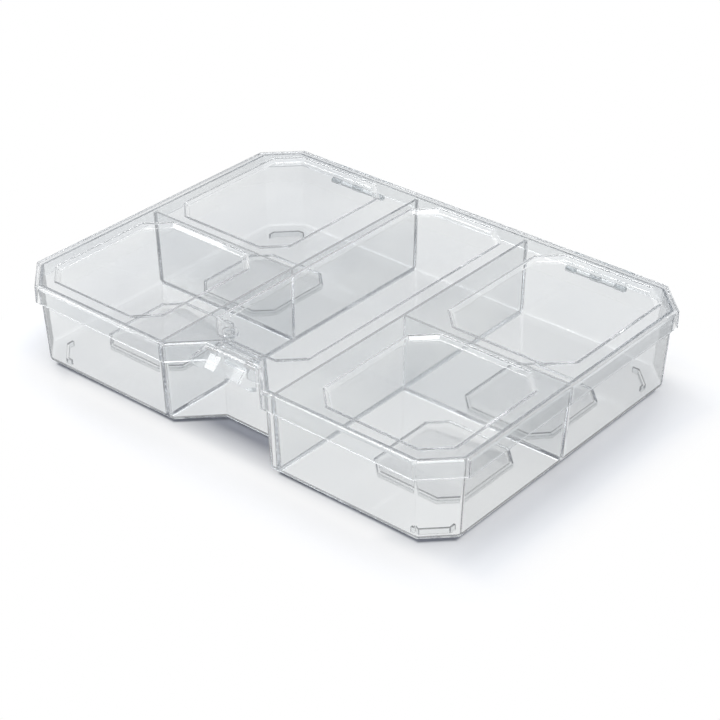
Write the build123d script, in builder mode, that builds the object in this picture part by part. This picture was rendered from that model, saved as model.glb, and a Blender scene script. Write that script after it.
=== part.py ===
from build123d import *
from math import radians, sin, sqrt, tan
import os

# Clear plastic compartment box: an open tray with five compartments, a flat lid on two
# back hinges, and a clasp in a finger notch at the middle of the front.
# The feet stand on z = 0, the origin is under the middle of the lid, and the front is -Y.

# lid, overall sizes
lid_width = 300.0
lid_length = 220.8
lid_corner = 19.4            # leg of each cut corner
lid_wall = 1.6               # plate and skirt
skirt_height = 10.8          # from the top face to the bottom of the skirt
lid_edge_radius = 1.1        # rounding of the top edge
lid_upright_radius = 1.6     # rounding of the skirt's upright edges
lid_inside_radius = 0.8      # under the plate, where the skirt starts
skirt_lip_radius = 0.5       # rounding of the skirt's lower edges

# finger notch in the front of the lid
notch_throat = 36.0          # width of its straight inner edge
notch_reach = 16.1           # how far it cuts in; its cheeks run at 45 degrees

# tray
tray_wall = 1.6              # walls and floor
foot_drop = 3.2              # feet below the underside of the floor
compartment_depth = 46.6     # floor to rim
rim_inset = 3.1              # tray rim inside the lid's outline
corner_inset = 2.4           # the same, square to the cut corners
cheek_inset = 2.9            # the same, square to the notch cheeks
throat_setback = 7.9         # tray's notch wall behind the lid's notch edge
side_draft = 3.0             # degrees, front and sides
back_draft = 1.5             # degrees
notch_draft = 2.0            # degrees
tray_round = 3.0             # outer bottom and upright edges
foot_round = 1.5             # inside edges of the compartments
rim_radius = 0.5             # rounding of the rim

# dividers, moulded in one with the tray
divider_foot = 2.0           # thickness at the floor
divider_draft = 0.25         # degrees, each side
divider_drop = 1.2           # top edge below the rim
long_divider_x = 39.4        # distance of the long dividers from the middle
cross_divider_y = -3.75

# octagonal feet, pressed down in the floors of the four side compartments
foot_width = 53.0            # along x, inside
foot_length = 56.5           # along y, inside
foot_corner = 8.5            # leg of the cut corners
foot_gap = 9.75              # from the middle of the cross divider to the foot
foot_edge_radius = 1.0       # rounding under the feet
foot_lip_radius = 0.5        # rounding inside the feet, at the top and the bottom

# corner brackets under the floor, which locate a box stacked on this lid
bracket_wall = 1.3
bracket_leg = 3.5            # short legs at the ends of the bar
bracket_bar = 10.5           # reach of the sloping bar along x and y
stack_gap = 0.2              # from a bracket to the foot of the panel's sloping wall

# recessed panels of the lid
panel_depth = 2.3
panel_slope = 45.0           # degrees
panel_corner = 12.5
panel_corner_radius = 2.0    # in plan
panel_edge_radius = 1.0      # along the top and the foot of the sloping walls
side_panel_inner = 56.0
side_panel_margin = 12.0     # from the lid's sides
front_panel_margin = 10.9    # from the lid's front edge and from the notch edge
back_panel_margin = 7.6      # from the lid's back edge
front_panel_gap = 5.45       # from the middle of the cross divider
back_panel_gap = 4.95        # the same, for the back panels
middle_panel_half = 32.0
ring_boss_x = -20.5
ring_boss_setback = 9.4      # behind the front of the middle panel
ring_boss_outer = 4.6
ring_boss_inner = 2.7
ring_boss_height = 1.6

# fits
seat_gap = 0.2               # lid plate over the rim
running_gap = 0.05           # on the radius, turning bores
turn_gap = 0.2               # on the radius, lid skirt around the tray knuckles
knuckle_gap = 0.25           # side gap between two knuckles

# hinges
hinge_inset = 44.5           # from the lid's side to the outer end of its hinge
knuckle_radius = 1.6
hinge_pin_radius = 0.8
hinge_below_skirt = 1.2      # axis below the bottom of the skirt
tray_knuckles = 3            # to a hinge, with one lid knuckle fewer between them
tray_knuckle = 6.5           # length of one tray knuckle
lid_knuckle = 9.25           # length of one lid knuckle
web_half = 1.1               # half height of the web behind a tray knuckle

# clasp
clasp_setback = 4.0          # axis behind the lid's notch edge
clasp_axis_drop = 2.2        # axis below the lid's top face
clasp_barrel_radius = 1.9
clasp_pin_radius = 0.9
clasp_half_width = 9.8       # barrel and neck
clasp_side_gap = 0.7
clasp_wall = 1.8
clasp_top_drop = 0.2         # its top face below the lid's top face
clasp_slope = 48.0           # degrees below the horizontal
clasp_edge_gap = 0.9         # flap in front of the lid's notch edge
clasp_cheek_gap = 1.2        # flap beside the lid's notch cheeks
clasp_reach = 9.1            # flap from notch edge to its lower edge, along y
clasp_lip_half = 16.0        # half width of the straight lower edge
clasp_lip_sweep = 2.3        # how far the lower edge sweeps back at its ends
clasp_bend_radius = 3.0
pad_half_width = 12.0        # raised and crowned thumb pad on the flap
pad_height = 0.4             # at its sides
pad_crown = 0.9              # more than that in the middle
pad_length = 8.0             # down the slope
pad_margin = 1.2             # from the lower edge
arm_wall = 1.6               # hook arm under the barrel
arm_half_width = 8.0
arm_length = 7.6             # below the axis
barb_reach = 1.5
barb_height = 2.4
barb_gap = 0.3               # in front of the catch, at rest
barb_drop = 0.2              # below the catch, at rest
catch_half_width = 8.6
catch_height = 3.0
catch_nose = 0.8             # height of its blunt nose
cutout_back = 2.6            # slot in the lid, behind the clasp's axis
ear_wall = 3.0               # lid ears at both ends of the clasp pin
ear_depth = 4.4              # below the lid's top face

# levels worked out from the sizes above
underside = foot_drop
floor_top = underside + tray_wall
rim = floor_top + compartment_depth
divider_top = rim - divider_drop
plate_under = rim + seat_gap
lid_top = plate_under + lid_wall
skirt_bottom = lid_top - skirt_height

half_width = lid_width / 2
half_length = lid_length / 2
root_two = sqrt(2)
notch_edge_y = notch_reach - half_length
notch_mouth_half = notch_throat / 2 + notch_reach

tray_half_width = half_width - rim_inset
tray_half_length = half_length - rim_inset
corner_sum = half_width + half_length - lid_corner - corner_inset * root_two
cheek_sum = notch_throat / 2 + notch_edge_y + cheek_inset * root_two
tray_throat_y = notch_edge_y + throat_setback
tray_throat_half = cheek_sum - tray_throat_y
tray_mouth_half = cheek_sum + tray_half_length
notch_corners_half = (tray_throat_half + tray_mouth_half) / 2

hinge_y = half_length - knuckle_radius
hinge_z = skirt_bottom - hinge_below_skirt
knuckle_pitch = tray_knuckle + lid_knuckle + 2 * knuckle_gap
hinge_length = (tray_knuckles - 1) * knuckle_pitch + tray_knuckle
hinge_outer_x = half_width - hinge_inset
hinge_middle_x = hinge_outer_x - hinge_length / 2
first_knuckle_x = hinge_outer_x - tray_knuckle / 2
right_tray_xs = [first_knuckle_x - i * knuckle_pitch for i in range(tray_knuckles)]
right_lid_xs = [x - knuckle_pitch / 2 for x in right_tray_xs[:-1]]
tray_knuckle_xs = right_tray_xs + [-x for x in right_tray_xs]
lid_knuckle_xs = right_lid_xs + [-x for x in right_lid_xs]

clasp_axis_y = notch_edge_y + clasp_setback
clasp_axis_z = lid_top - clasp_axis_drop
barb_tip_y = clasp_axis_y + arm_wall / 2 + barb_reach
catch_tip_y = barb_tip_y + barb_gap
catch_low = clasp_axis_z - arm_length + barb_height + barb_drop
cutout_half = clasp_half_width + clasp_side_gap
pin_half = cutout_half + ear_wall
flap_start_y = notch_edge_y - clasp_edge_gap
lip_y = notch_edge_y - clasp_reach
flap_cheek_sum = notch_throat / 2 + notch_edge_y - clasp_cheek_gap * root_two
lip_end_y = lip_y + clasp_lip_sweep

cutout_back_y = clasp_axis_y + cutout_back
ear_y = (notch_edge_y + lid_wall / 2 + cutout_back_y) / 2
ear_z = lid_top - (ear_depth + lid_wall / 2) / 2
clasp_top = lid_top - clasp_top_drop
lip_z = clasp_top - (flap_start_y - lip_y) * tan(radians(clasp_slope))
notch_wall_middle_y = tray_throat_y + tray_wall / 2
web_depth = hinge_y - tray_half_length + tray_wall / 2

side_panel_outer = half_width - side_panel_margin
side_panel_middle = (side_panel_inner + side_panel_outer) / 2
side_panel_width = side_panel_outer - side_panel_inner
front_panel_front = front_panel_margin - half_length
front_panel_back = cross_divider_y - front_panel_gap
back_panel_front = cross_divider_y + back_panel_gap
back_panel_back = half_length - back_panel_margin
middle_panel_front = notch_edge_y + front_panel_margin
ring_boss_y = middle_panel_front + ring_boss_setback
foot_x = side_panel_middle
bracket_reach_x = side_panel_outer - panel_depth - stack_gap - bracket_wall
bracket_reach_y = -front_panel_front - panel_depth - stack_gap - bracket_wall

along_x = (0, 90, 0)         # turns a cylinder's axis along x
same_level = 0.1             # heights closer than this count as the same
down_flap = Plane(
    origin=(0, lip_y, lip_z),
    x_dir=(1, 0, 0),
    z_dir=(0, lip_y - flap_start_y, lip_z - clasp_top),
)

os.makedirs("parts", exist_ok=True)


def both_sides(points):
    """Points of the right half of an outline, then the same mirrored to the left."""
    return points + [(-x, y) for x, y in reversed(points)]


def flat_faces(part, level):
    """The faces of a part that lie flat at a level."""
    return part.faces().filter_by(Axis.Z).filter_by(
        lambda face: abs(face.center().Z - level) < same_level
    )


def opening_edges(part, level):
    """The edges around the openings in the flat faces at a level."""
    return [
        edge
        for face in flat_faces(part, level)
        for wire in face.inner_wires()
        for edge in wire.edges()
    ]


def lies_flat(edge):
    """True for an edge that stays at one level."""
    return edge.bounding_box().size.Z < same_level


def is_upright(edge):
    """True for an edge that rises from one level to another."""
    return not lies_flat(edge)


def four_corners(x, y):
    """The same place in all four quadrants, about the cross dividers."""
    return [
        (side * x, cross_divider_y + end * y)
        for side in (-1, 1)
        for end in (-1, 1)
    ]


tray_outline = both_sides([
    (tray_throat_half, tray_throat_y),
    (tray_mouth_half, -tray_half_length),
    (corner_sum - tray_half_length, -tray_half_length),
    (tray_half_width, tray_half_width - corner_sum),
    (tray_half_width, corner_sum - tray_half_width),
    (corner_sum - tray_half_length, tray_half_length),
])

lid_outline = both_sides([
    (notch_throat / 2, notch_edge_y),
    (notch_mouth_half, -half_length),
    (half_width - lid_corner, -half_length),
    (half_width, lid_corner - half_length),
    (half_width, half_length - lid_corner),
    (half_width - lid_corner, half_length),
])

bracket_bend = bracket_wall * (root_two - 1)
bracket_outline = [
    (bracket_reach_x - bracket_bar - bracket_leg, -bracket_reach_y),
    (bracket_reach_x - bracket_bar, -bracket_reach_y),
    (bracket_reach_x, bracket_bar - bracket_reach_y),
    (bracket_reach_x, bracket_bar + bracket_leg - bracket_reach_y),
    (bracket_reach_x + bracket_wall, bracket_bar + bracket_leg - bracket_reach_y),
    (bracket_reach_x + bracket_wall, bracket_bar - bracket_bend - bracket_reach_y),
    (bracket_reach_x - bracket_bar + bracket_bend, -bracket_reach_y - bracket_wall),
    (bracket_reach_x - bracket_bar - bracket_leg, -bracket_reach_y - bracket_wall),
]

# tray: solid outer body, with drafted walls
with BuildPart() as body:
    with BuildSketch(Plane.XY.offset(underside)):
        Polygon(*tray_outline, align=None)
    extrude(amount=rim - underside)


def upright_faces():
    """The side faces of the tray's outer body."""
    return body.faces().filter_by(Axis.Z, reverse=True)


def in_notch(face):
    """True for the three faces around the finger notch."""
    return abs(face.center().X) < tray_mouth_half and face.center().Y < 0


def at_back(face):
    """True for the long face that carries the hinges."""
    return face.center().Y > tray_half_length - tray_wall


def on_sides(face):
    """True for the remaining faces, which have the full draft."""
    return not in_notch(face) and not at_back(face)


with body:
    draft(upright_faces().filter_by(in_notch), Plane.XY.offset(rim), -notch_draft)
    draft(upright_faces().filter_by(at_back), Plane.XY.offset(rim), -back_draft)
    draft(upright_faces().filter_by(on_sides), Plane.XY.offset(rim), -side_draft)

# tray: the space inside its walls, and the dividers that cut it up
with BuildPart() as shell:
    add(body.part)
    offset(
        amount=-tray_wall,
        openings=shell.faces().sort_by(Axis.Z)[-1],
        kind=Kind.INTERSECTION,
    )

with BuildPart() as inside:
    add(body.part)
    add(shell.part, mode=Mode.SUBTRACT)

with BuildPart() as dividers:
    with BuildSketch(Plane.XY.offset(underside + tray_wall / 2)):
        with Locations((0, cross_divider_y)):
            Rectangle(lid_width, divider_foot)
            Rectangle(2 * long_divider_x, divider_foot, mode=Mode.SUBTRACT)
        with Locations((long_divider_x, 0), (-long_divider_x, 0)):
            Rectangle(divider_foot, lid_length)
    extrude(amount=rim - underside - tray_wall / 2, taper=divider_draft)

with BuildPart() as spaces:
    add(inside.part)
    add(dividers.part, mode=Mode.SUBTRACT)


def rounded_edges(part, level):
    """Edges of a part that start at a level, without the two inner notch corners."""
    starts = part.edges().filter_by(
        lambda edge: abs(edge.bounding_box().min.Z - level) < same_level
    )
    return starts.filter_by(
        lambda edge: lies_flat(edge)
        or abs(edge.center().X) > notch_corners_half
        or edge.center().Y > 0
    )


compartments = []
for space in spaces.solids():
    with BuildPart() as compartment:
        add(space)
        fillet(rounded_edges(compartment, floor_top), foot_round)
    compartments.append(compartment.part)

with BuildPart() as headroom:
    add(inside.part)
    split(bisect_by=Plane.XY.offset(divider_top), keep=Keep.TOP)
    fillet(rounded_edges(headroom, divider_top).filter_by(is_upright), foot_round)

# tray: plans of the hollow feet and of the corner brackets
with BuildSketch() as foot_plan:
    with Locations(*four_corners(foot_x, foot_gap + foot_length / 2)):
        Rectangle(foot_width, foot_length)
    chamfer(foot_plan.vertices(), length=foot_corner)

with BuildSketch() as bracket_plan:
    Polygon(*bracket_outline, align=None)
    mirror(about=Plane.YZ)
    mirror(about=Plane.XZ)

with BuildPart() as foot_spaces:
    with BuildSketch(Plane.XY.offset(tray_wall)):
        add(foot_plan.sketch)
    extrude(amount=foot_drop)
    fillet(flat_faces(foot_spaces, tray_wall).edges(), foot_lip_radius)

# tray: everything together
with BuildPart() as tray:
    add(body.part)
    fillet(rounded_edges(tray, underside), tray_round)

    # octagonal feet below the floor
    with BuildSketch():
        add(foot_plan.sketch)
        offset(amount=tray_wall, kind=Kind.INTERSECTION)
    extrude(amount=underside + tray_wall / 2)
    fillet(flat_faces(tray, 0).edges(), foot_edge_radius)

    # corner brackets below the floor
    with BuildSketch():
        add(bracket_plan.sketch)
    extrude(amount=underside + tray_wall / 2)

    # hinge knuckles on the back wall
    with Locations(*[(x, hinge_y - web_depth / 2, hinge_z) for x in tray_knuckle_xs]):
        Box(tray_knuckle, web_depth, 2 * web_half)
    with Locations(*[(x, hinge_y, hinge_z) for x in tray_knuckle_xs]):
        Cylinder(knuckle_radius, tray_knuckle, rotation=along_x)
        Cylinder(hinge_pin_radius, tray_knuckle, rotation=along_x, mode=Mode.SUBTRACT)

    # catch for the clasp on the notch wall
    with BuildSketch(Plane.YZ):
        Polygon(
            (catch_tip_y, catch_low),
            (notch_wall_middle_y, catch_low),
            (notch_wall_middle_y, catch_low + catch_height),
            (catch_tip_y, catch_low + catch_nose),
            align=None,
        )
    extrude(amount=catch_half_width, both=True)

    # compartments, room above the dividers, and the hollow feet
    for compartment_space in compartments:
        add(compartment_space, mode=Mode.SUBTRACT)
    add(headroom.part, mode=Mode.SUBTRACT)
    add(foot_spaces.part, mode=Mode.SUBTRACT)
    fillet(flat_faces(tray, rim).edges(), rim_radius)
    fillet(opening_edges(tray, floor_top), foot_lip_radius)

tray.part.label = "tray"
export_step(tray.part, "parts/tray.step")

# lid
with BuildSketch(Plane.XY.offset(lid_top)) as panel_plan:
    for side in (-1, 1):
        with Locations((side * side_panel_middle, (front_panel_front + front_panel_back) / 2)):
            Rectangle(side_panel_width, front_panel_back - front_panel_front)
        with Locations((side * side_panel_middle, (back_panel_front + back_panel_back) / 2)):
            Rectangle(side_panel_width, back_panel_back - back_panel_front)
    with Locations((0, (middle_panel_front + back_panel_back) / 2)):
        Rectangle(2 * middle_panel_half, back_panel_back - middle_panel_front)
    chamfer(panel_plan.vertices(), length=panel_corner)

with BuildPart() as panel_recesses:
    with BuildSketch(Plane.XY.offset(lid_top)):
        add(panel_plan.sketch)
    extrude(amount=-panel_depth, taper=panel_slope)
    fillet(panel_recesses.edges().filter_by(is_upright), panel_corner_radius)
    fillet(flat_faces(panel_recesses, lid_top - panel_depth).edges(), panel_edge_radius)

with BuildPart() as panel_undersides:
    with BuildSketch(Plane.XY.offset(lid_top)):
        add(panel_plan.sketch)
        offset(amount=lid_wall / sin(radians(panel_slope)), kind=Kind.INTERSECTION)
    extrude(amount=-panel_depth - lid_wall, taper=panel_slope)
    fillet(panel_undersides.edges().filter_by(is_upright), panel_corner_radius + lid_wall)
    fillet(flat_faces(panel_undersides, plate_under - panel_depth).edges(), panel_edge_radius)

with BuildPart() as lid:
    with BuildSketch(Plane.XY.offset(skirt_bottom)):
        Polygon(*lid_outline, align=None)
    extrude(amount=skirt_height)
    fillet(
        lid.edges().filter_by(Axis.Z).filter_by(
            lambda edge: abs(edge.center().X) > notch_throat
        ),
        lid_upright_radius,
    )
    fillet(lid.faces().sort_by(Axis.Z)[-1].edges(), lid_edge_radius)
    with BuildSketch(Plane.XY.offset(skirt_bottom)):
        Polygon(*lid_outline, align=None)
        offset(amount=-lid_wall, kind=Kind.INTERSECTION)
    extrude(amount=skirt_height - lid_wall, mode=Mode.SUBTRACT)
    fillet(flat_faces(lid, skirt_bottom).edges(), skirt_lip_radius)
    fillet(flat_faces(lid, plate_under).edges(), lid_inside_radius)

    # recessed panels with sloping walls, the same thickness as the plate
    add(panel_undersides.part)
    add(panel_recesses.part, mode=Mode.SUBTRACT)
    fillet(opening_edges(lid, lid_top), panel_edge_radius)
    fillet(opening_edges(lid, plate_under), panel_edge_radius)

    # ring boss under the middle panel
    with BuildSketch(Plane.XY.offset(lid_top - panel_depth - lid_wall - ring_boss_height)):
        with Locations((ring_boss_x, ring_boss_y)):
            Circle(ring_boss_outer)
            Circle(ring_boss_inner, mode=Mode.SUBTRACT)
    extrude(amount=ring_boss_height + lid_wall / 2)

    # hinge knuckles under the back skirt, and room for the tray's knuckles
    with Locations(*[(x, hinge_y, hinge_z) for x in tray_knuckle_xs]):
        Cylinder(
            knuckle_radius + turn_gap,
            tray_knuckle + 2 * knuckle_gap,
            rotation=along_x,
            mode=Mode.SUBTRACT,
        )
    with Locations(*[(x, hinge_y + knuckle_radius / 2, skirt_bottom) for x in lid_knuckle_xs]):
        Box(lid_knuckle, knuckle_radius, 2 * hinge_below_skirt)
    with Locations(*[(x, hinge_y, hinge_z) for x in lid_knuckle_xs]):
        Cylinder(knuckle_radius, lid_knuckle, rotation=along_x)
        Cylinder(
            hinge_pin_radius + running_gap,
            lid_knuckle,
            rotation=along_x,
            mode=Mode.SUBTRACT,
        )

    # slot for the clasp, with an ear for its pin at each end
    with Locations((0, (notch_edge_y + cutout_back_y) / 2, lid_top - skirt_height / 2)):
        Box(2 * cutout_half, cutout_back_y - notch_edge_y, skirt_height, mode=Mode.SUBTRACT)
    with Locations(*[(side * (cutout_half + ear_wall / 2), ear_y, ear_z) for side in (-1, 1)]):
        Box(ear_wall, cutout_back_y - notch_edge_y - lid_wall / 2, ear_depth - lid_wall / 2)
    with Locations((0, clasp_axis_y, clasp_axis_z)):
        Cylinder(clasp_pin_radius, 2 * pin_half, rotation=along_x, mode=Mode.SUBTRACT)

lid.part.label = "lid"
export_step(lid.part, "parts/lid.step")

# hinge pins
with BuildPart() as hinge_pin_left:
    with Locations((-hinge_middle_x, hinge_y, hinge_z)):
        Cylinder(hinge_pin_radius, hinge_length, rotation=along_x)
hinge_pin_left.part.label = "hinge_pin_left"
export_step(hinge_pin_left.part, "parts/hinge_pin_left.step")

with BuildPart() as hinge_pin_right:
    with Locations((hinge_middle_x, hinge_y, hinge_z)):
        Cylinder(hinge_pin_radius, hinge_length, rotation=along_x)
hinge_pin_right.part.label = "hinge_pin_right"
export_step(hinge_pin_right.part, "parts/hinge_pin_right.step")

# clasp: neck and flap bent from one plate, on a barrel
with BuildPart() as clasp:
    with BuildSketch(Plane.YZ):
        with BuildLine() as clasp_line:
            Polyline(
                (clasp_axis_y, clasp_top),
                (flap_start_y, clasp_top),
                (lip_y, lip_z),
            )
            fillet(clasp_line.vertices().sort_by(Axis.X)[1], clasp_bend_radius)
            offset(amount=clasp_wall, side=Side.LEFT)
        make_face()
    extrude(amount=notch_mouth_half, both=True)
    with BuildSketch():
        Polygon(
            *both_sides([
                (flap_cheek_sum - flap_start_y, flap_start_y),
                (flap_cheek_sum - lip_end_y, lip_end_y),
                (clasp_lip_half, lip_y),
            ]),
            align=None,
        )
        with Locations((0, (clasp_axis_y + flap_start_y) / 2)):
            Rectangle(2 * clasp_half_width, clasp_axis_y - flap_start_y)
    extrude(amount=lid_top, mode=Mode.INTERSECT)

    # thumb pad, its profile carried up the flap
    with BuildSketch(down_flap.offset(-pad_margin)):
        with BuildLine():
            ThreePointArc(
                (-pad_half_width, pad_height),
                (0, pad_height + pad_crown),
                (pad_half_width, pad_height),
            )
            Polyline(
                (pad_half_width, pad_height),
                (pad_half_width, -pad_height),
                (-pad_half_width, -pad_height),
                (-pad_half_width, pad_height),
            )
        make_face()
    extrude(amount=-pad_length)

    # barrel, and the hook arm with its barb
    with Locations((0, clasp_axis_y, clasp_axis_z)):
        Cylinder(clasp_barrel_radius, 2 * clasp_half_width, rotation=along_x)
    with BuildSketch(Plane.YZ):
        Polygon(
            (clasp_axis_y - arm_wall / 2, clasp_axis_z),
            (clasp_axis_y - arm_wall / 2, clasp_axis_z - arm_length),
            (clasp_axis_y + arm_wall / 2, clasp_axis_z - arm_length),
            (barb_tip_y, clasp_axis_z - arm_length + barb_height - catch_nose),
            (barb_tip_y, clasp_axis_z - arm_length + barb_height),
            (clasp_axis_y + arm_wall / 2, clasp_axis_z - arm_length + barb_height),
            (clasp_axis_y + arm_wall / 2, clasp_axis_z),
            align=None,
        )
    extrude(amount=arm_half_width, both=True)
    with Locations((0, clasp_axis_y, clasp_axis_z)):
        Cylinder(
            clasp_pin_radius + running_gap,
            2 * clasp_half_width,
            rotation=along_x,
            mode=Mode.SUBTRACT,
        )

clasp.part.label = "clasp"
export_step(clasp.part, "parts/clasp.step")

with BuildPart() as clasp_pin:
    with Locations((0, clasp_axis_y, clasp_axis_z)):
        Cylinder(clasp_pin_radius, 2 * pin_half, rotation=along_x)
clasp_pin.part.label = "clasp_pin"
export_step(clasp_pin.part, "parts/clasp_pin.step")
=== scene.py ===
from math import cos, radians, sin

import bpy
from bpy.props import FloatProperty, FloatVectorProperty, PointerProperty
from bpy.types import Operator, Panel, PropertyGroup
from mathutils import Matrix, Vector

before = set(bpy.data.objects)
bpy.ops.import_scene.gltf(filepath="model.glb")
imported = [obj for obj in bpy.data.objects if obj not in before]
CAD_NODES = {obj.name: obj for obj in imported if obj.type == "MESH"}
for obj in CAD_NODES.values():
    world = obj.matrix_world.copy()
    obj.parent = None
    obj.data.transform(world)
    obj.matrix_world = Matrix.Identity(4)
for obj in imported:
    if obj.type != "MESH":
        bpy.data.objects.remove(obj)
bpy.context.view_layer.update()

bl_info = {
    "name": "Clear Compartment Box",
    "version": (1, 0, 0),
    "blender": (4, 5, 0),
    "location": "View3D > Sidebar > Box",
    "description": "Dresses the clear compartment box in its moulded plastic and sets its stage",
    "category": "Object",
}

WHITE = (1.0, 1.0, 1.0)

# the broad noise behind the haze and the tint, and the finer one behind the flow marks
CLOUD = {"Scale": 9.0, "Detail": 3.0, "Roughness": 0.5}
GRAIN = {"Scale": 28.0, "Detail": 1.0, "Roughness": 0.4}

# how far the haze and the tint of the plastic stray from their settings, as factors, and the
# first and the last value of the broad noise between which they do
LEAST_HAZE = 0.4
MOST_HAZE = 1.6
HAZE_SPAN = (0.3, 0.7)
DEEP_TINT = 0.965
PALE_TINT = 1.02
TINT_SPAN = (0.35, 0.65)

SHADE_SPAN = (0.1, 0.9)  # how far a face turns aside: from the shade colour to the edge shade

# How much plain white the floor holds before the box and beside it. Each stop is a distance past
# the tray's edge, as a share of the shadow's reach, and the share of white there.
FRONT_WHITE = (
    (-0.43, 0.0),
    (-0.26, 0.33),
    (-0.1, 0.48),
    (0.0, 0.72),
    (0.09, 0.78),
    (0.25, 0.6),
    (0.45, 0.45),
    (1.0, 1.0),
)
SIDE_WHITE = ((-0.15, 0.3), (-0.04, 0.2), (0.12, 0.0), (0.4, 0.0), (0.66, 0.66), (0.86, 1.0))
FAR_WHITE = (0.7, 1.1)  # all round the box, the floor turns all white between these shares

# Where the floor changes, in metres, as the first and the last place of each change. Distances
# past the tray's outline are negative inside it.
GAP_SHADOW_BAND = (-0.0072, -0.0045)  # past the outline with the notch: from the painted shadow line to the paper
WHITE_BAND = (-0.0075, -0.005)  # past the outline with the notch: where the white sets in
FRONT_BAND = (0.095, 0.12)  # distance from the middle: from the white beside to that before
THROAT_BAND = (0.125, 0.105)  # along the box: inwards of this, the white is that before the box
BACK_BAND = (0.04, 0.2)  # towards the back: where the shadow fades
SIDE_BAND = (-0.004, 0.004)  # past the outline: from mirrored floor below to that beside
MIRRORED_FRONT = (-0.12, -0.08)  # along Y: from mirrored floor before the box to the rest
MIRRORED_WHITE = (0.05, 0.2)  # away from the box: where the mirrored floor turns white

# the grey card on the studio's walls, as the bands of direction in which its edges fade
CARD_LEFT = (-0.76, -0.58)
CARD_RIGHT = (-0.35, -0.15)
CARD_NEAR = (0.3, 0.5)
CARD_TOP = (0.6, 0.78)
SKY_SPAN = (0.2, 0.5)  # upwards: from white to the sky's colour

CORNER_SLOPE = sin(radians(45))
AIM = (0.05313, -0.05622, 0.0532)  # the point that the camera looks at, in metres
SENSOR_WIDTH = 36.0  # in millimetres, as the lens is
NEAREST = 0.01  # the camera's clipping distances, in metres
FURTHEST = 50.0
LIGHT_BOUNCES = 96  # the light lines along the edges need many inner reflections
CLEAR_BOUNCES = 64
BRIGHTEST_ECHO = 3.0  # holds back stray sparks


# settings


class PlasticSettings(PropertyGroup):
    """Sizes and colours of the clear plastic."""

    sheet_colour: FloatVectorProperty(
        name="Sheet colour",
        description="What one wall of the clear plastic lets through",
        subtype="COLOR",
        size=3,
        min=0.0,
        max=1.0,
        default=(0.973, 0.984, 0.993),
    )
    shade_colour: FloatVectorProperty(
        name="Shade colour",
        description="What each surface lets through of the light that meets it square on",
        subtype="COLOR",
        size=3,
        min=0.0,
        max=1.0,
        default=(0.88, 0.885, 0.89),
    )
    edge_shade: FloatVectorProperty(
        name="Edge shade",
        description="What each surface lets through of the light that only grazes it",
        subtype="COLOR",
        size=3,
        min=0.0,
        max=1.0,
        default=(0.36, 0.37, 0.39),
    )
    body_colour: FloatVectorProperty(
        name="Body colour",
        description="Tint of the plastic where light runs along inside it",
        subtype="COLOR",
        size=3,
        min=0.0,
        max=1.0,
        default=(0.5, 0.53, 0.57),
    )
    body_density: FloatProperty(
        name="Body density",
        description="How fast the tint deepens along the light's way, per metre",
        min=0.0,
        default=3.5,
    )
    refraction: FloatProperty(
        name="Refraction", description="Index of refraction", min=1.0, max=2.0, default=1.57
    )
    haze: FloatProperty(
        name="Haze", description="Roughness of the moulded faces", min=0.0, max=1.0, default=0.03
    )
    ripple: FloatProperty(
        name="Ripple",
        description="Height of the flow marks that moulding leaves",
        unit="LENGTH",
        min=0.0,
        max=0.001,
        precision=6,
        default=0.00002,
    )


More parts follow.
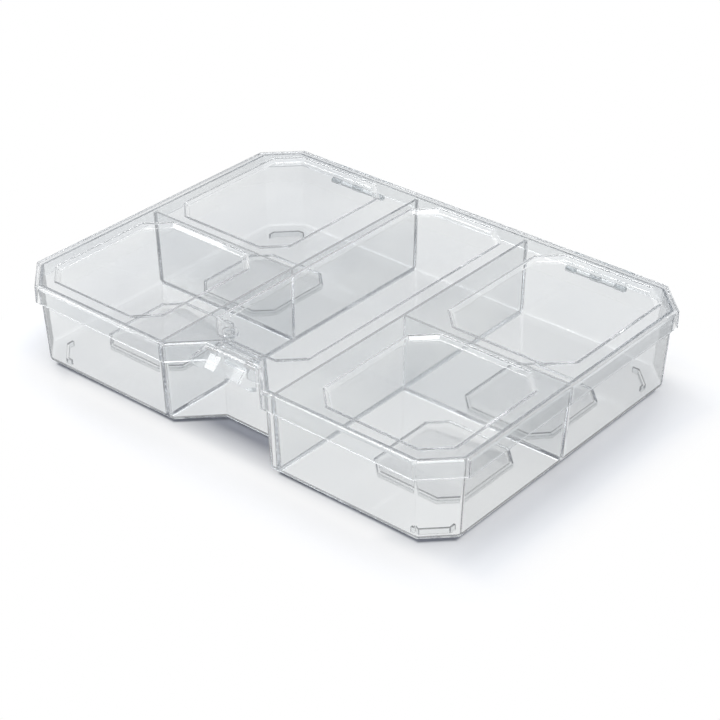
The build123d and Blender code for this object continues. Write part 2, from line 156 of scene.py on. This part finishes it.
class StageSettings(PropertyGroup):
    """Sizes and colours of the stage."""

    floor_colour: FloatVectorProperty(
        name="Floor colour",
        description="Colour of the floor",
        subtype="COLOR",
        size=3,
        min=0.0,
        max=1.0,
        default=(0.90, 0.91, 0.93),
    )
    tray_reach: FloatVectorProperty(
        name="Tray reach",
        description="Half the width and depth of the tray",
        subtype="XYZ",
        unit="LENGTH",
        size=2,
        default=(0.1469, 0.1073),
    )
    corner_sum: FloatProperty(
        name="Corner sum",
        description="X plus y along the tray's cut corners",
        unit="LENGTH",
        default=0.2376,
    )
    notch_throat: FloatProperty(
        name="Notch throat",
        description="From the middle to the tray's wall at the back of the notch",
        unit="LENGTH",
        default=0.0864,
    )
    notch_sum: FloatProperty(
        name="Notch sum",
        description="Y less x along the notch's sloping cheeks",
        unit="LENGTH",
        default=0.0722,
    )
    painted_gap_shadow: FloatVectorProperty(
        name="Line colour",
        # Painted shadow on the floor in the narrow gap below the tray's edges
        description="Colour of the floor in the narrow gap below the tray's edges",
        subtype="COLOR",
        size=3,
        min=0.0,
        max=1.0,
        default=(0.30, 0.31, 0.355),
    )
    deep_light: FloatProperty(
        name="Deep light",
        description="How bright the floor looks to light that was mirrored over and over",
        min=0.0,
        max=1.0,
        default=0.6,
    )
    painted_contact_shade: FloatVectorProperty(
        name="Contact colour",
        # Painted shade on the floor close against the box, where least light gets to it
        description="Colour of the floor close against the box, where least light gets to it",
        subtype="COLOR",
        size=3,
        min=0.0,
        max=1.0,
        default=(0.56, 0.575, 0.63),
    )
    contact_reach: FloatProperty(
        name="Contact reach",
        # How far inside the outline of the box the floor takes the painted contact shade
        description="How far inside the outline of the box the floor takes the contact colour",
        unit="LENGTH",
        min=0.001,
        default=0.014,
    )
    shadow_reach: FloatProperty(
        name="Shadow reach",
        description="How far past the box the floor turns plain white",
        unit="LENGTH",
        min=0.001,
        default=0.05,
    )
    under_mirror_shade: FloatVectorProperty(
        name="Under colour",
        # Painted shade that the floor glows with under the box, where the plastic mirrors it
        description="Colour of the floor under the box where the plastic mirrors it",
        subtype="COLOR",
        size=3,
        min=0.0,
        max=1.0,
        default=(0.30, 0.305, 0.31),
    )
    side_mirror_shade: FloatVectorProperty(
        name="Side colour",
        # Painted shade that the floor glows with beside the box, where the plastic mirrors it
        description="Colour of the floor beside the box where the plastic mirrors it",
        subtype="COLOR",
        size=3,
        min=0.0,
        max=1.0,
        default=(0.30, 0.305, 0.315),
    )
    front_mirror_shade: FloatVectorProperty(
        name="Front colour",
        # Painted shade that the floor glows with before the box, where the plastic mirrors it
        description="Colour of the floor before the box where the plastic mirrors it",
        subtype="COLOR",
        size=3,
        min=0.0,
        max=1.0,
        default=(0.55, 0.56, 0.57),
    )
    sky_colour: FloatVectorProperty(
        name="Sky colour",
        description="Colour of the studio overhead",
        subtype="COLOR",
        size=3,
        min=0.0,
        max=1.0,
        default=(0.82, 0.83, 0.85),
    )
    card_colour: FloatVectorProperty(
        name="Card colour",
        description="Colour of the card at the back left",
        subtype="COLOR",
        size=3,
        min=0.0,
        max=1.0,
        default=(0.40, 0.42, 0.44),
    )
    floor_size: FloatProperty(
        name="Floor size", description="Width of the floor", unit="LENGTH", min=1.0, default=12.0
    )
    seen_through: FloatProperty(
        name="White through plastic",
        description="Share of plain white in the floor where it is seen through the box",
        min=0.0, max=1.0, default=0.9,
    )
    key_power: FloatProperty(
        name="Key light", description="Power of the soft box at the front left", unit="POWER",
        min=0.0, default=5.6,
    )
    top_power: FloatProperty(
        name="Top light", description="Power of the soft box overhead", unit="POWER",
        min=0.0, default=6.7,
    )
    strip_power: FloatProperty(
        name="Strip light", description="Power of the narrow soft box that the clasp mirrors",
        unit="POWER", min=0.0, default=4.0,
    )
    high_power: FloatProperty(
        name="High light", description="Power of the soft box that the panels' edges mirror",
        unit="POWER", min=0.0, default=11.0,
    )
    front_power: FloatProperty(
        name="Front light", description="Power of the soft box that the front edges mirror",
        unit="POWER", min=0.0, default=5.5,
    )
    corner_power: FloatProperty(
        name="Corner light", description="Power of the soft box that the panels' corners mirror",
        unit="POWER", min=0.0, default=3.0,
    )
    lamp_distance: FloatProperty(
        name="Lamp distance", description="From the box to each soft box", unit="LENGTH",
        min=0.1, default=1.5,
    )
    lens: FloatProperty(
        name="Lens", description="Focal length of the camera, in millimetres",
        min=10.0, default=99.41,
    )
    azimuth: FloatProperty(
        name="Azimuth", description="Where the camera stands round the box", subtype="ANGLE",
        default=radians(39.9185),
    )
    elevation: FloatProperty(
        name="Elevation", description="How far the camera looks down", subtype="ANGLE",
        default=radians(31.4715),
    )
    distance: FloatProperty(
        name="Distance", description="From the camera to the point it looks at", unit="LENGTH",
        default=1.00635,
    )
    roll: FloatProperty(
        name="Roll", description="Tilt of the camera about its own axis", subtype="ANGLE",
        default=radians(0.0902),
    )


# materials


class Tree:
    """A material's or world's nodes, with short calls to add and join them."""

    def __init__(self, owner):
        owner.use_nodes = True
        self.nodes = owner.node_tree.nodes
        self.links = owner.node_tree.links
        self.nodes.clear()

    def add(self, kind, place=(0, 0), settings=None, **inputs):
        node = self.nodes.new(kind)
        node.location = place
        for name, value in (settings or {}).items():
            setattr(node, name, value)
        for name, value in inputs.items():
            socket = node.inputs[name.replace("_", " ")]
            if isinstance(value, bpy.types.NodeSocket):
                self.links.new(value, socket)
            else:
                socket.default_value = value
        return node


def maths(tree, operation, first, second, third=0.0):
    """A Math node's result. Each value is a number or another node's output."""
    node = tree.add("ShaderNodeMath", settings={"operation": operation})
    for socket, value in zip(node.inputs, (first, second, third)):
        if isinstance(value, bpy.types.NodeSocket):
            tree.links.new(value, socket)
        else:
            socket.default_value = value
    return node.outputs["Value"]


def eased(tree, value, start, end):
    """0 where value is at start or before, 1 at end or past it, and smooth between."""
    node = tree.add(
        "ShaderNodeMapRange", settings={"interpolation_type": "SMOOTHSTEP"},
        Value=value, From_Min=start, From_Max=end,
    )
    return node.outputs["Result"]


def blend(tree, factor, first, second):
    """Mixes two colours: the first at 0, the second at 1."""
    node = tree.add("ShaderNodeMix", settings={"data_type": "RGBA"})
    tree.links.new(factor, node.inputs[0])
    for socket, value in zip((node.inputs[6], node.inputs[7]), (first, second)):
        if isinstance(value, bpy.types.NodeSocket):
            tree.links.new(value, socket)
        else:
            socket.default_value = (*value, 1.0)
    return node.outputs[2]


def ramp(tree, place, factor, stops):
    """A colour ramp over factor. Each stop is a position and a colour."""
    node = tree.add("ShaderNodeValToRGB", place, Fac=factor)
    elements = node.color_ramp.elements
    while len(elements) < len(stops):
        elements.new(1.0)
    for element, (position, colour) in zip(elements, stops):
        element.position = position
        element.color = (*colour, 1.0)
    return node.outputs["Color"]


def profile(tree, value, reach, stops):
    """A number that changes over a length. Each stop is a length, as a share of reach, and the
    number there."""
    first, last = stops[0][0], stops[-1][0]
    scale = 1.0 / (last - first)
    factor = maths(tree, "MULTIPLY_ADD", value, scale / reach, -first * scale)
    colours = [((place - first) * scale, (share, share, share)) for place, share in stops]
    return ramp(tree, (0, 0), factor, colours)


def clear_plastic(name, settings, centre, stretch, dimmed=1.0):
    """Clear moulded plastic. The haze and the faint ripple come from noise drawn out along the
    flow of the melt, away from the gate. Lamps reach the floor through it, shaded more where they
    graze a face, and by dimmed all over."""
    material = bpy.data.materials.new(name)
    tree = Tree(material)
    place = tree.add("ShaderNodeTexCoord", (-1200, 0))
    flow = tree.add(
        "ShaderNodeMapping", (-1000, 0), Vector=place.outputs["Object"], Location=centre,
        Scale=stretch,
    )
    cloud = tree.add("ShaderNodeTexNoise", (-800, 200), Vector=flow.outputs["Vector"], **CLOUD)
    grain = tree.add("ShaderNodeTexNoise", (-800, -200), Vector=flow.outputs["Vector"], **GRAIN)
    haze = tree.add(
        "ShaderNodeMapRange", (-500, 100), Value=cloud.outputs["Fac"],
        From_Min=HAZE_SPAN[0], From_Max=HAZE_SPAN[1],
        To_Min=settings.haze * LEAST_HAZE, To_Max=settings.haze * MOST_HAZE,
    )
    deep = [c * DEEP_TINT for c in settings.sheet_colour]
    pale = [min(c * PALE_TINT, 1.0) for c in settings.sheet_colour]
    colour = ramp(tree, (-500, 400), cloud.outputs["Fac"], list(zip(TINT_SPAN, (deep, pale))))
    ripple = tree.add(
        "ShaderNodeBump", (-300, -200), Height=grain.outputs["Fac"], Strength=1.0,
        Distance=settings.ripple,
    )
    plastic = tree.add(
        "ShaderNodeBsdfPrincipled", (0, 100), Base_Color=colour, Roughness=haze.outputs["Result"],
        IOR=settings.refraction, Transmission_Weight=1.0, Normal=ripple.outputs["Normal"],
    )
    facing = tree.add("ShaderNodeLayerWeight", (-500, -400), Blend=0.5)
    square_on = [c * dimmed for c in settings.shade_colour]
    grazing = [c * dimmed for c in settings.edge_shade]
    shade = ramp(
        tree, (-300, -400), facing.outputs["Facing"],
        list(zip(SHADE_SPAN, (square_on, grazing))),
    )
    through = tree.add("ShaderNodeBsdfTransparent", (0, -300), Color=shade)
    path = tree.add("ShaderNodeLightPath", (-300, 500))
    lamp = maths(tree, "MAXIMUM", path.outputs["Is Shadow Ray"], path.outputs["Is Diffuse Ray"])
    both = tree.add("ShaderNodeMixShader", (300, 0), Fac=lamp)
    tree.links.new(plastic.outputs["BSDF"], both.inputs[1])
    tree.links.new(through.outputs["BSDF"], both.inputs[2])
    body = tree.add(
        "ShaderNodeVolumeAbsorption", (300, -200), Color=(*settings.body_colour, 1.0),
        Density=settings.body_density,
    )
    tree.add(
        "ShaderNodeOutputMaterial", (500, 0), Surface=both.outputs["Shader"],
        Volume=body.outputs["Volume"],
    )
    return material


def dress(node, material):
    """Gives a carried-over CAD node its finish."""
    mesh = CAD_NODES[node].data
    mesh.materials.clear()
    mesh.materials.append(material)


# operators


class BOX_OT_tray(Operator):
    """Give the tray its clear plastic"""

    bl_idname = "compartment_box.tray"
    bl_label = "Tray"

    def execute(self, context):
        settings = context.scene.box_plastic
        dress("tray", clear_plastic(
            "tray_plastic", settings, centre=(0, 0.02, 0), stretch=(1, 1.6, 2.5)))
        return {"FINISHED"}


class BOX_OT_lid(Operator):
    """Give the lid its clear plastic"""

    bl_idname = "compartment_box.lid"
    bl_label = "Lid"

    def execute(self, context):
        settings = context.scene.box_plastic
        dress("lid", clear_plastic(
            "lid_plastic", settings, centre=(0.3, 0.1, 0), stretch=(1.4, 1, 3)))
        return {"FINISHED"}


class BOX_OT_clasp(Operator):
    """Give the clasp its clear plastic"""

    bl_idname = "compartment_box.clasp"
    bl_label = "Clasp"

    def execute(self, context):
        settings = context.scene.box_plastic
        dress("clasp", clear_plastic(
            "clasp_plastic", settings, centre=(0.1, 0.5, 0), stretch=(3, 5, 5), dimmed=0.7))
        return {"FINISHED"}


class BOX_OT_pins(Operator):
    """Give the hinge pins and the clasp's pin their clear plastic"""

    bl_idname = "compartment_box.pins"
    bl_label = "Pins"

    def execute(self, context):
        settings = context.scene.box_plastic
        material = clear_plastic(
            "pin_plastic", settings, centre=(0.7, 0.2, 0), stretch=(8, 8, 8))
        for node in ("hinge_pin_left", "hinge_pin_right", "clasp_pin"):
            dress(node, material)
        return {"FINISHED"}


class BOX_OT_stage(Operator):
    """Set the floor, the lights, the world and the camera"""

    bl_idname = "compartment_box.stage"
    bl_label = "Stage"

    def execute(self, context):
        settings = context.scene.box_stage
        self.floor(context, settings)
        self.world(context, settings)
        self.lights(context, settings)
        self.camera(context, settings)
        scene = context.scene
        scene.view_settings.view_transform = "Standard"
        scene.cycles.max_bounces = LIGHT_BOUNCES
        scene.cycles.transmission_bounces = LIGHT_BOUNCES
        scene.cycles.glossy_bounces = LIGHT_BOUNCES
        scene.cycles.transparent_max_bounces = CLEAR_BOUNCES
        scene.cycles.caustics_reflective = False
        scene.cycles.caustics_refractive = False
        scene.cycles.sample_clamp_indirect = BRIGHTEST_ECHO
        return {"FINISHED"}

    def floor(self, context, settings):
        """A square in the plane z = 0, white far from the box and shaded by it close by, partly by
        the lamps and partly by painted shade.
        """
        half = settings.floor_size / 2
        mesh = bpy.data.meshes.new("floor")
        corners = [(-half, -half, 0), (half, -half, 0), (half, half, 0), (-half, half, 0)]
        mesh.from_pydata(corners, [], [(0, 1, 2, 3)])
        floor = bpy.data.objects.new("floor", mesh)
        context.collection.objects.link(floor)

        material = bpy.data.materials.new("floor_paper")
        tree = Tree(material)
        place = tree.add("ShaderNodeTexCoord")
        here = tree.add("ShaderNodeSeparateXYZ", Vector=place.outputs["Object"])
        reach_x, reach_y = settings.tray_reach
        along = maths(tree, "ABSOLUTE", here.outputs["X"], 0.0)
        across = maths(tree, "ABSOLUTE", here.outputs["Y"], 0.0)
        past_x = maths(tree, "SUBTRACT", along, reach_x)
        past_y = maths(tree, "SUBTRACT", across, reach_y)
        outside_x = maths(tree, "MAXIMUM", past_x, 0.0)
        outside_y = maths(tree, "MAXIMUM", past_y, 0.0)
        squared = maths(tree, "MULTIPLY_ADD", outside_x, outside_x,
                        maths(tree, "MULTIPLY", outside_y, outside_y))
        away = maths(tree, "SQRT", squared, 0.0)

        # how far past the tray's outline, with its cut corners, and then with the notch
        past_corner = maths(tree, "SUBTRACT", maths(tree, "ADD", along, across),
                            settings.corner_sum)
        past_corner = maths(tree, "MULTIPLY", past_corner, CORNER_SLOPE)
        past = maths(tree, "MAXIMUM", maths(tree, "MAXIMUM", past_x, past_y), past_corner)
        throat = maths(tree, "SUBTRACT", -settings.notch_throat, here.outputs["Y"])
        cheek = maths(tree, "SUBTRACT", -settings.notch_sum,
                      maths(tree, "ADD", along, here.outputs["Y"]))
        cheek = maths(tree, "MULTIPLY", cheek, CORNER_SLOPE)
        past_notch = maths(tree, "MAXIMUM", past, maths(tree, "MINIMUM", throat, cheek))

        # painted shade: the floor's colour darkens close inside the box's outline, where least
        # light gets to it
        contact_shade_mask = eased(tree, past, -settings.contact_reach, 0.0)
        # painted shadow: a thin dark line on the floor in the gap under the tray's edges
        line = eased(tree, past_notch, *GAP_SHADOW_BAND)
        paper_and_painted_shade = blend(tree, contact_shade_mask, settings.painted_contact_shade, settings.floor_colour)
        paper_and_painted_shade = blend(tree, line, settings.painted_gap_shadow, paper_and_painted_shade)
        paper = tree.add("ShaderNodeBsdfDiffuse", Color=paper_and_painted_shade)

        # the share of plain white: none in the gap under the tray, then one profile before the
        # box and one beside it, and all white behind it and far off
        front = profile(tree, past_y, settings.shadow_reach, FRONT_WHITE)
        side = profile(tree, past_x, settings.shadow_reach, SIDE_WHITE)
        before = maths(tree, "MAXIMUM", eased(tree, across, *FRONT_BAND),
                       eased(tree, along, *THROAT_BAND))
        change = maths(tree, "SUBTRACT", front, side)
        share = maths(tree, "MULTIPLY_ADD", before, change, side)
        open_air = eased(tree, past_notch, *WHITE_BAND)
        share = maths(tree, "MULTIPLY", share, open_air)
        share = maths(tree, "MAXIMUM", share, eased(tree, here.outputs["Y"], *BACK_BAND))
        share = maths(tree, "MULTIPLY", share, open_air)
        start, end = (settings.shadow_reach * part for part in FAR_WHITE)
        far = maths(tree, "MAXIMUM", share, eased(tree, away, start, end))

        # through the plastic the floor is seen mostly white, but dimmer in repeated mirroring
        path = tree.add("ShaderNodeLightPath")
        through = maths(tree, "MULTIPLY", path.outputs["Is Transmission Ray"],
                        settings.seen_through)
        depth = path.outputs["Glossy Depth"]
        deep = maths(tree, "MINIMUM", maths(tree, "MAXIMUM", maths(
            tree, "SUBTRACT", depth, 1.0), 0.0), 1.0)
        strength = maths(tree, "MULTIPLY_ADD", deep, settings.deep_light - 1.0, 1.0)
        white = tree.add("ShaderNodeEmission", Color=(*WHITE, 1.0), Strength=strength)
        seen = tree.add("ShaderNodeMixShader", Fac=maths(tree, "MAXIMUM", far, through))
        tree.links.new(paper.outputs["BSDF"], seen.inputs[1])
        tree.links.new(white.outputs["Emission"], seen.inputs[2])

        # painted shade: where the plastic mirrors it once, the floor glows darker under, beside
        # and before the box, and white clear of it
        aside = eased(tree, past, *SIDE_BAND)
        mirrored_shade = blend(tree, aside, settings.under_mirror_shade, settings.side_mirror_shade)
        behind = eased(tree, here.outputs["Y"], *MIRRORED_FRONT)
        mirrored_shade = blend(tree, behind, settings.front_mirror_shade, mirrored_shade)
        clear_of_it = eased(tree, away, *MIRRORED_WHITE)
        mirrored_shade = blend(tree, clear_of_it, mirrored_shade, WHITE)
        mirrored = tree.add("ShaderNodeEmission", Color=mirrored_shade, Strength=1.0)
        both = tree.add("ShaderNodeMixShader", Fac=maths(tree, "COMPARE", depth, 1.0, 0.5))
        tree.links.new(seen.outputs["Shader"], both.inputs[1])
        tree.links.new(mirrored.outputs["Emission"], both.inputs[2])
        tree.add("ShaderNodeOutputMaterial", Surface=both.outputs["Shader"])
        mesh.materials.append(material)

    def world(self, context, settings):
        """White low down and a little greyer overhead, with a soft grey card at the back left that
        the level faces mirror. White all over for the camera."""
        world = bpy.data.worlds.new("studio")
        context.scene.world = world
        tree = Tree(world)
        place = tree.add("ShaderNodeTexCoord", (-900, 0))
        split = tree.add("ShaderNodeSeparateXYZ", (-700, 0), Vector=place.outputs["Generated"])
        sky = ramp(
            tree, (-500, 0), split.outputs["Z"],
            list(zip(SKY_SPAN, (WHITE, settings.sky_colour))),
        )
        card = maths(tree, "SUBTRACT", eased(tree, split.outputs["X"], *CARD_LEFT),
                     eased(tree, split.outputs["X"], *CARD_RIGHT))
        card = maths(tree, "MULTIPLY", card, eased(tree, split.outputs["Y"], *CARD_NEAR))
        card = maths(tree, "SUBTRACT", card, eased(tree, split.outputs["Z"], *CARD_TOP))
        card = maths(tree, "MAXIMUM", card, 0.0)
        walls = blend(tree, card, sky, settings.card_colour)
        path = tree.add("ShaderNodeLightPath", (-200, 400))
        studio = tree.add("ShaderNodeBackground", (0, 0), Color=walls, Strength=1.0)
        white = tree.add("ShaderNodeBackground", (0, -200), Color=(*WHITE, 1.0), Strength=1.0)
        both = tree.add("ShaderNodeMixShader", (200, 0), Fac=path.outputs["Is Camera Ray"])
        tree.links.new(studio.outputs["Background"], both.inputs[1])
        tree.links.new(white.outputs["Background"], both.inputs[2])
        tree.add("ShaderNodeOutputWorld", (400, 0), Surface=both.outputs["Shader"])

    def lights(self, context, settings):
        """Soft boxes: name, direction, size, power, and whether it is mirrored. Those that are
        mirrored draw the white lines along the edges, and the others light the floor."""
        lamps = (
            ("strip_soft_box", (-0.74, -0.48, 0.46), (0.4, 0.6), settings.strip_power, True),
            ("high_soft_box", (-0.36, 0.32, 0.88), (1.0, 0.5), settings.high_power, True),
            ("front_soft_box", (-0.547, -0.15, 0.82), (0.5, 0.5), settings.front_power, True),
            ("corner_soft_box", (0.42, -0.32, 0.85), (0.4, 0.4), settings.corner_power, True),
            ("key_soft_box", (-0.7, 0.1, 0.7), (0.8, 0.8), settings.key_power, False),
            ("top_soft_box", (0.0, 0.0, 1.0), (0.9, 0.9), settings.top_power, False),
        )
        for name, direction, (width, height), power, mirrored in lamps:
            light = bpy.data.lights.new(name, "AREA")
            light.shape = "RECTANGLE"
            light.size = width
            light.size_y = height
            light.energy = power
            lamp = bpy.data.objects.new(name, light)
            towards = Vector(direction).normalized()
            lamp.location = towards * settings.lamp_distance
            lamp.rotation_euler = towards.to_track_quat("Z", "Y").to_euler()
            lamp.visible_glossy = mirrored
            lamp.visible_transmission = mirrored
            lamp.visible_diffuse = not mirrored
            context.collection.objects.link(lamp)

    def camera(self, context, settings):
        """The photograph's view: turned round the box, then tilted a little about its own axis."""
        lens = bpy.data.cameras.new("camera")
        lens.sensor_width = SENSOR_WIDTH
        lens.lens = settings.lens
        lens.clip_start = NEAREST
        lens.clip_end = FURTHEST
        a = settings.azimuth
        e = settings.elevation
        back = Vector((sin(a) * cos(e), -cos(a) * cos(e), sin(e)))
        target = Vector(AIM)
        camera = bpy.data.objects.new("camera", lens)
        turned = (-back).to_track_quat("-Z", "Y").to_matrix().to_4x4()
        tilt = Matrix.Rotation(settings.roll, 4, "Z")
        camera.matrix_world = Matrix.Translation(target + back * settings.distance) @ turned @ tilt
        context.collection.objects.link(camera)
        context.scene.camera = camera


OPERATORS = (BOX_OT_tray, BOX_OT_lid, BOX_OT_clasp, BOX_OT_pins, BOX_OT_stage)


class BOX_PT_panel(Panel):
    """The box's pieces and its stage"""

    bl_idname = "BOX_PT_panel"
    bl_label = "Clear Compartment Box"
    bl_space_type = "VIEW_3D"
    bl_region_type = "UI"
    bl_category = "Box"

    def draw(self, context):
        for name in ("box_plastic", "box_stage"):
            settings = getattr(context.scene, name)
            column = self.layout.column()
            for key in settings.__annotations__:
                column.prop(settings, key)
        for operator in OPERATORS:
            self.layout.operator(operator.bl_idname)


CLASSES = (PlasticSettings, StageSettings, *OPERATORS, BOX_PT_panel)


def register():
    for cls in CLASSES:
        bpy.utils.register_class(cls)
    bpy.types.Scene.box_plastic = PointerProperty(type=PlasticSettings)
    bpy.types.Scene.box_stage = PointerProperty(type=StageSettings)


def unregister():
    del bpy.types.Scene.box_stage
    del bpy.types.Scene.box_plastic
    for cls in reversed(CLASSES):
        bpy.utils.unregister_class(cls)


def main():
    """Gives every piece its finish and makes the stage."""
    register()
    bpy.ops.compartment_box.tray()
    bpy.ops.compartment_box.lid()
    bpy.ops.compartment_box.clasp()
    bpy.ops.compartment_box.pins()
    bpy.ops.compartment_box.stage()


if __name__ == "__main__":
    main()
